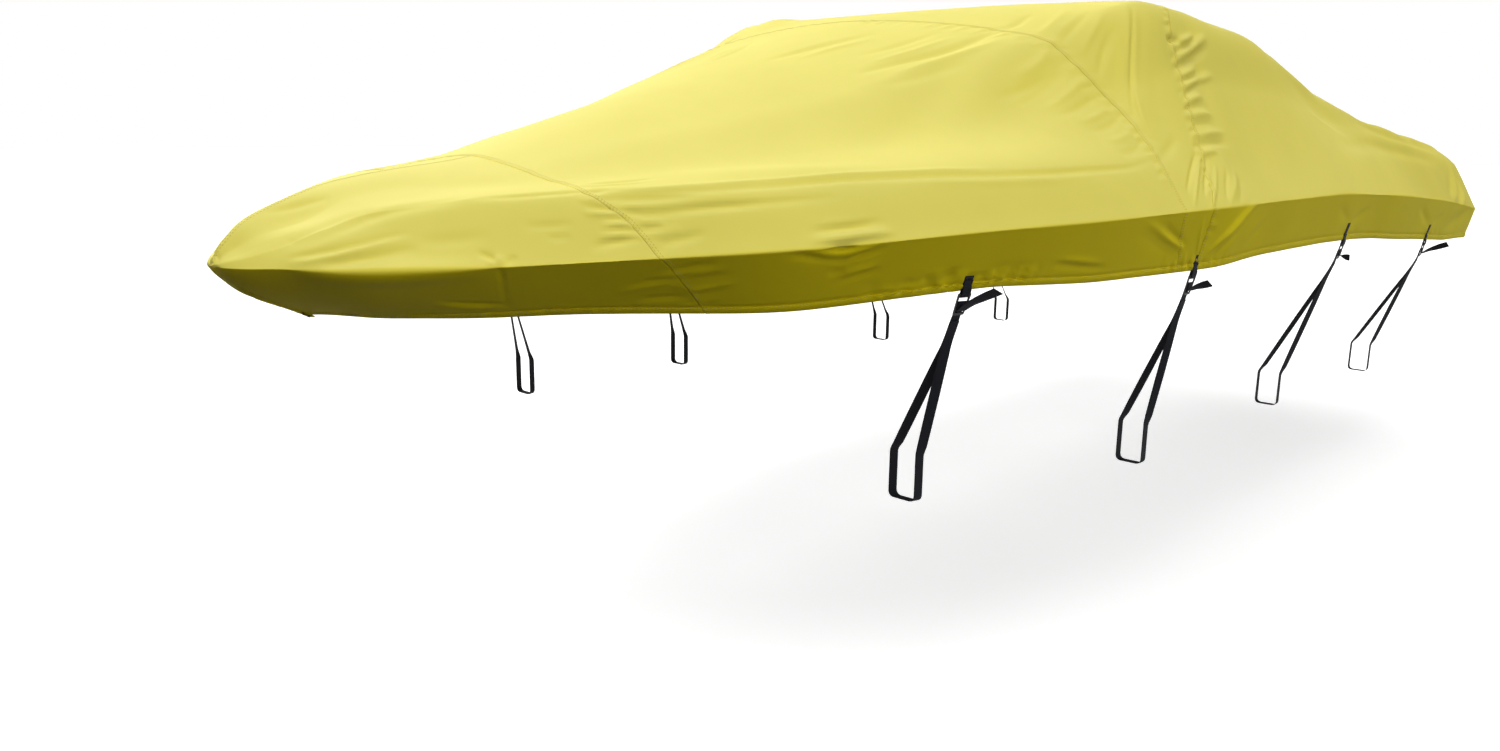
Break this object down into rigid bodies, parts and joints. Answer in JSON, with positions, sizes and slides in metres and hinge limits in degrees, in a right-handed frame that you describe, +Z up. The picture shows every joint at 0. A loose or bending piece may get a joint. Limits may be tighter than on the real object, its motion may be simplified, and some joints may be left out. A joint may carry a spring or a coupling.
{
  "type": "fitted boat cover",
  "caption": "Yellow fitted cover for an open runabout, sewn from wide cloth panels, with black tie-down straps and plastic buckles hanging from its hem.",
  "frame": {"origin": "the point on the centreline under the top where the highest part of the hull carries the cloth, 2.25 m aft of the bow tip", "axes": "+X aft along the hull, +Y to starboard, +Z up; the bow points along -X and the port side lies at -Y"},
  "size_m": [5.47, 2.3414, 1.3931],
  "materials": {
    "cover_cloth": "matte",
    "webbing": "matte",
    "buckle_plastic": "satin"
  },
  "bodies": {
    "root": {"bow_panel_port": "cover_cloth", "bow_panel_starboard": "cover_cloth", "fore_panel": "cover_cloth", "screen_panel": "cover_cloth", "aft_panel": "cover_cloth", "tab_port_1": "webbing", "buckle_port_1": "buckle_plastic", "strap_port_1": "webbing", "tab_port_2": "webbing", "buckle_port_2": "buckle_plastic", "strap_port_2": "webbing", "tab_port_3": "webbing", "buckle_port_3": "buckle_plastic", "strap_port_3": "webbing", "tab_port_4": "webbing", "buckle_port_4": "buckle_plastic", "strap_port_4": "webbing", "tab_starboard_1": "webbing", "buckle_starboard_1": "buckle_plastic", "strap_starboard_1": "webbing", "tab_starboard_2": "webbing", "buckle_starboard_2": "buckle_plastic", "strap_starboard_2": "webbing", "tab_starboard_3": "webbing", "buckle_starboard_3": "buckle_plastic", "strap_starboard_3": "webbing", "tab_starboard_4": "webbing", "buckle_starboard_4": "buckle_plastic", "strap_starboard_4": "webbing"}
  },
  "joints": []
}
